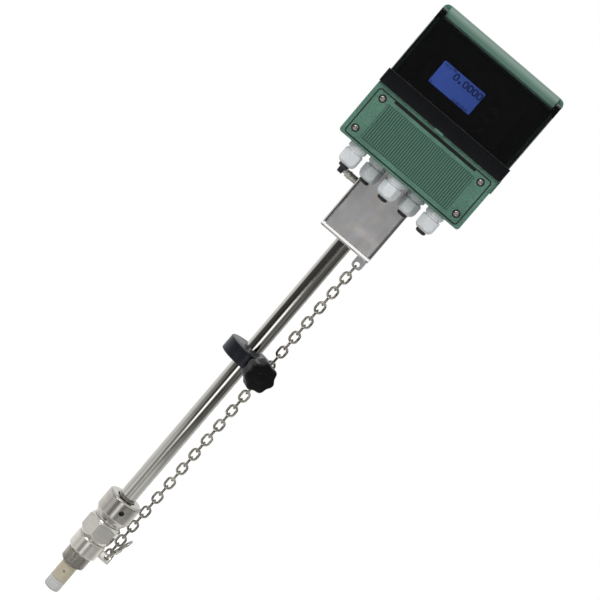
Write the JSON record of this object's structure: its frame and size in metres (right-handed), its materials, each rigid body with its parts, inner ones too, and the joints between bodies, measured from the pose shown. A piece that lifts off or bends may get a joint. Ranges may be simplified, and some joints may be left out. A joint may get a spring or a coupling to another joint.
{
  "type": "insertion flow meter",
  "caption": "Insertion flow meter: sensor rod sliding in a screwed process fitting, with a depth-stop collar, safety chain and a display head with a smoked hinged cover.",
  "frame": {"origin": "on the rod's axis, in the plane of the process fitting's shoulder, just above its thread", "axes": "+Z along the rod from the sensor to the display head, display facing -Y, +X to the right seen from the front"},
  "size_m": [0.1815, 0.1285, 0.8538],
  "materials": {
    "fitting_steel": "satin",
    "nut_steel": "polished",
    "rod_steel": "polished",
    "neck_steel": "satin",
    "screw_steel": "satin",
    "chain_steel": "polished",
    "electrode_metal": "satin",
    "collar_metal": "satin",
    "knob_plastic": "satin",
    "sensor_polymer": "satin",
    "cap_polymer": "satin",
    "packing": "matte",
    "seal_rubber": "matte",
    "housing_green": "satin",
    "panel_plastic": "satin",
    "smoked_plastic": "gloss",
    "lcd_blue": "gloss",
    "circuit_board": "satin",
    "terminal_plastic": "satin",
    "gland_nylon": "satin"
  },
  "bodies": {
    "fitting": {"fitting_body": "fitting_steel", "packing_ring": "packing", "packing_follower": "fitting_steel", "end_link": "chain_steel", "quick_link": "chain_steel"},
    "nut": {"packing_nut": "nut_steel"},
    "probe": {"insertion_rod": "rod_steel", "sensor_body": "sensor_polymer", "sensor_cap": "cap_polymer", "electrode_front": "electrode_metal", "electrode_back": "electrode_metal", "neck_base": "neck_steel", "neck_box": "neck_steel", "side_port": "neck_steel", "port_cap": "seal_rubber", "rear_housing": "housing_green", "terminal_cover": "housing_green", "terminal_screw_1": "screw_steel", "terminal_screw_2": "screw_steel", "terminal_screw_3": "screw_steel", "terminal_screw_4": "screw_steel", "terminal_block": "terminal_plastic", "front_panel": "panel_plastic", "lcd_module": "lcd_blue", "main_board": "circuit_board", "hinge_pin": "screw_steel", "gland_body_1": "gland_nylon", "gland_body_2": "gland_nylon", "gland_body_3": "gland_nylon", "gland_body_4": "gland_nylon", "gland_body_5": "gland_nylon", "gland_nut_1": "gland_nylon", "gland_nut_2": "gland_nylon", "gland_nut_3": "gland_nylon", "gland_nut_4": "gland_nylon", "gland_nut_5": "gland_nylon", "gland_plug_1": "seal_rubber", "gland_plug_2": "seal_rubber", "gland_plug_3": "seal_rubber", "gland_plug_4": "seal_rubber", "gland_plug_5": "seal_rubber"},
    "collar": {"collar_ring": "collar_metal"},
    "knob": {"star_knob": "knob_plastic"},
    "cover": {"display_cover": "smoked_plastic"},
    "key_top": {"key_1": "seal_rubber"},
    "key_middle": {"key_2": "seal_rubber"},
    "key_bottom": {"key_3": "seal_rubber"},
    "chain_01": {"chain_group_01": "chain_steel"},
    "chain_02": {"chain_group_02": "chain_steel"},
    "chain_03": {"chain_group_03": "chain_steel"},
    "chain_04": {"chain_group_04": "chain_steel"},
    "chain_05": {"chain_group_05": "chain_steel"},
    "chain_06": {"chain_group_06": "chain_steel"},
    "chain_07": {"chain_group_07": "chain_steel"},
    "chain_08": {"chain_group_08": "chain_steel"},
    "chain_09": {"chain_group_09": "chain_steel"},
    "chain_10": {"chain_group_10": "chain_steel"},
    "chain_11": {"chain_group_11": "chain_steel"},
    "chain_12": {"chain_group_12": "chain_steel"},
    "chain_13": {"chain_group_13": "chain_steel"}
  },
  "joints": [
    {"name": "insertion_slide", "type": "slide", "parent": "fitting", "child": "probe", "axis": [0, 0, 1], "range_m": [-0.068, 0]},
    {"name": "nut_turn", "type": "hinge", "parent": "fitting", "child": "nut", "pos_m": [0, 0, 0.069], "axis": [0, 0, 1], "range_deg": [0, 360]},
    {"name": "collar_slide", "type": "slide", "parent": "probe", "child": "collar", "axis": [0, 0, 1], "range_m": [-0.14, 0.15]},
    {"name": "knob_turn", "type": "hinge", "parent": "collar", "child": "knob", "pos_m": [0, 0, 0.3176], "axis": [0.4848, -0.8746, 0], "range_deg": [0, 360]},
    {"name": "cover_hinge", "type": "hinge", "parent": "probe", "child": "cover", "pos_m": [0, -0.072, 0.78], "axis": [-1, 0, 0], "range_deg": [0, 110]},
    {"name": "key_press_top", "type": "slide", "parent": "probe", "child": "key_top", "axis": [0, 1, 0], "range_m": [0, 0.001], "stiffness_N_per_m": 400},
    {"name": "key_press_middle", "type": "slide", "parent": "probe", "child": "key_middle", "axis": [0, 1, 0], "range_m": [0, 0.001], "stiffness_N_per_m": 400},
    {"name": "key_press_bottom", "type": "slide", "parent": "probe", "child": "key_bottom", "axis": [0, 1, 0], "range_m": [0, 0.001], "stiffness_N_per_m": 400},
    {"name": "chain_slide_01", "type": "slide", "parent": "fitting", "child": "chain_01", "axis": [0, 0, 1], "range_m": [-0.0653, 0]},
    {"name": "chain_slide_02", "type": "slide", "parent": "fitting", "child": "chain_02", "axis": [0, 0, 1], "range_m": [-0.0599, 0]},
    {"name": "chain_slide_03", "type": "slide", "parent": "fitting", "child": "chain_03", "axis": [0, 0, 1], "range_m": [-0.0546, 0]},
    {"name": "chain_slide_04", "type": "slide", "parent": "fitting", "child": "chain_04", "axis": [0, 0, 1], "range_m": [-0.0492, 0]},
    {"name": "chain_slide_05", "type": "slide", "parent": "fitting", "child": "chain_05", "axis": [0, 0, 1], "range_m": [-0.0439, 0]},
    {"name": "chain_slide_06", "type": "slide", "parent": "fitting", "child": "chain_06", "axis": [0, 0, 1], "range_m": [-0.0385, 0]},
    {"name": "chain_slide_07", "type": "slide", "parent": "fitting", "child": "chain_07", "axis": [0, 0, 1], "range_m": [-0.0332, 0]},
    {"name": "chain_slide_08", "type": "slide", "parent": "fitting", "child": "chain_08", "axis": [0, 0, 1], "range_m": [-0.0278, 0]},
    {"name": "chain_slide_09", "type": "slide", "parent": "fitting", "child": "chain_09", "axis": [0, 0, 1], "range_m": [-0.0225, 0]},
    {"name": "chain_slide_10", "type": "slide", "parent": "fitting", "child": "chain_10", "axis": [0, 0, 1], "range_m": [-0.0171, 0]},
    {"name": "chain_slide_11", "type": "slide", "parent": "fitting", "child": "chain_11", "axis": [0, 0, 1], "range_m": [-0.0118, 0]},
    {"name": "chain_slide_12", "type": "slide", "parent": "fitting", "child": "chain_12", "axis": [0, 0, 1], "range_m": [-0.0064, 0]},
    {"name": "chain_slide_13", "type": "slide", "parent": "fitting", "child": "chain_13", "axis": [0, 0, 1], "range_m": [-0.0011, 0]}
  ],
  "couplings": [
    {"joint": "chain_slide_01", "follows": "insertion_slide", "ratio": 0.95882},
    {"joint": "chain_slide_02", "follows": "insertion_slide", "ratio": 0.88015},
    {"joint": "chain_slide_03", "follows": "insertion_slide", "ratio": 0.80147},
    {"joint": "chain_slide_04", "follows": "insertion_slide", "ratio": 0.72279},
    {"joint": "chain_slide_05", "follows": "insertion_slide", "ratio": 0.64412},
    {"joint": "chain_slide_06", "follows": "insertion_slide", "ratio": 0.56544},
    {"joint": "chain_slide_07", "follows": "insertion_slide", "ratio": 0.48677},
    {"joint": "chain_slide_08", "follows": "insertion_slide", "ratio": 0.40809},
    {"joint": "chain_slide_09", "follows": "insertion_slide", "ratio": 0.32941},
    {"joint": "chain_slide_10", "follows": "insertion_slide", "ratio": 0.25073},
    {"joint": "chain_slide_11", "follows": "insertion_slide", "ratio": 0.17206},
    {"joint": "chain_slide_12", "follows": "insertion_slide", "ratio": 0.093382},
    {"joint": "chain_slide_13", "follows": "insertion_slide", "ratio": 0.014706}
  ]
}
